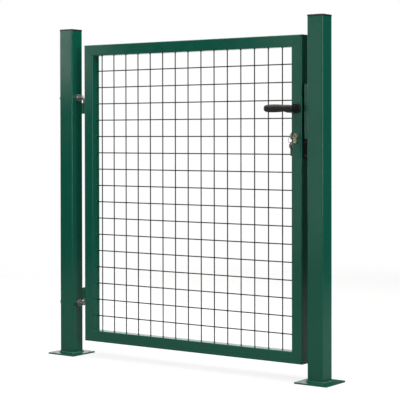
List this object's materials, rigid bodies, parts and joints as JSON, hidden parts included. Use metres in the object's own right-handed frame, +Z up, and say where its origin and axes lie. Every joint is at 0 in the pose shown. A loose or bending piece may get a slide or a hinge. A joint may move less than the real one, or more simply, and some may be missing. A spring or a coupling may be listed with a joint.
{
  "type": "garden gate",
  "caption": "Single-leaf mesh garden gate between two square posts on base plates, with hook hinges, lever handles and a keyed cylinder lock.",
  "frame": {"origin": "on the ground, midway between the two posts", "axes": "+X along the gate towards the lock post, +Y through the gate away from the side it opens to, +Z up"},
  "size_m": [1.209, 0.1424, 1.2175],
  "materials": {
    "green_coat": "gloss green powder coat over galvanised steel",
    "plate_coat": "gloss green powder coat, paler where it lies flat",
    "mesh_coat": "green powder coated welded wire",
    "cap_plastic": "black moulded polyethylene",
    "zinc": "zinc plated steel",
    "rubber": "black rubber",
    "forend_black": "black coated steel",
    "case_steel": "galvanised sheet steel",
    "lock_steel": "machined steel",
    "spring_steel": "spring steel wire",
    "lever_black": "satin black glass-filled nylon",
    "rose_black": "satin black glass-filled nylon",
    "cylinder_nickel": "satin nickel plated brass",
    "plug_brass": "brushed brass",
    "key_nickel": "nickel plated brass",
    "ring_steel": "bright steel wire",
    "screw_zinc": "zinc plated steel"
  },
  "bodies": {
    "posts": {"hinge_post": "green_coat", "lock_post": "green_coat", "hinge_post_base_plate": "plate_coat", "lock_post_base_plate": "plate_coat", "hinge_post_foot_weld": "green_coat", "lock_post_foot_weld": "green_coat", "hinge_post_cap": "cap_plastic", "lock_post_cap": "cap_plastic", "upper_hinge_bolt": "zinc", "lower_hinge_bolt": "zinc", "hinge_nuts": "zinc", "hinge_washers": "zinc", "hinge_thrust_collar": "zinc", "strike_keep": "green_coat", "leaf_stop_tabs": "green_coat", "leaf_stop_buffers": "rubber"},
    "leaf": {"hinge_stile": "green_coat", "lock_stile": "green_coat", "top_rail": "green_coat", "bottom_rail": "green_coat", "mesh_vertical_wires": "mesh_coat", "mesh_horizontal_wires": "mesh_coat", "upper_hinge_sleeve": "green_coat", "lower_hinge_sleeve": "green_coat", "lock_case": "case_steel", "lock_forend": "forend_black", "forend_screws": "screw_zinc", "cylinder_fixing_screw": "screw_zinc", "front_rose": "rose_black", "rear_rose": "rose_black", "cylinder_body": "cylinder_nickel", "rear_cylinder_plug": "plug_brass", "latch_spring": "spring_steel"},
    "levers": {"front_lever": "lever_black", "rear_lever": "lever_black", "lever_spindle": "zinc", "lever_grub_screws": "screw_zinc", "latch_follower": "lock_steel"},
    "latch": {"latch_bolt": "lock_steel"},
    "key": {"key_in_cylinder": "key_nickel", "front_cylinder_plug": "plug_brass", "cylinder_cam": "lock_steel"},
    "bolt": {"dead_bolt": "lock_steel"},
    "key_ring": {"key_ring": "ring_steel", "spare_key": "key_nickel"}
  },
  "joints": [
    {"name": "leaf_swing", "type": "hinge", "parent": "posts", "child": "leaf", "pos_m": [-0.473, 0, 0.232], "axis": [0, 0, -1], "range_deg": [0, 95]},
    {"name": "lever_turn", "type": "hinge", "parent": "leaf", "child": "levers", "pos_m": [0.464, 0, 0.909], "axis": [0, -1, 0], "range_deg": [0, 30], "stiffness_Nm_per_rad": 0.6, "springref_deg": -34.38},
    {"name": "latch_slide", "type": "slide", "parent": "leaf", "child": "latch", "axis": [-1, 0, 0], "range_m": [0, 0.0075], "deforming": ["latch_spring"]},
    {"name": "key_turn", "type": "hinge", "parent": "leaf", "child": "key", "pos_m": [0.464, 0, 0.817], "axis": [0, 1, 0], "range_deg": [0, 360]},
    {"name": "bolt_throw", "type": "slide", "parent": "leaf", "child": "bolt", "axis": [1, 0, 0], "range_m": [0, 0.017]},
    {"name": "ring_swing", "type": "hinge", "parent": "key", "child": "key_ring", "pos_m": [0.464, -0.052, 0.8151], "axis": [1, 0, 0], "range_deg": [-40, 12]}
  ],
  "couplings": [
    {"joint": "latch_slide", "follows": "lever_turn", "m_per_rad": 0.014323},
    {"joint": "bolt_throw", "follows": "key_turn", "m_per_rad": 0.002705}
  ]
}
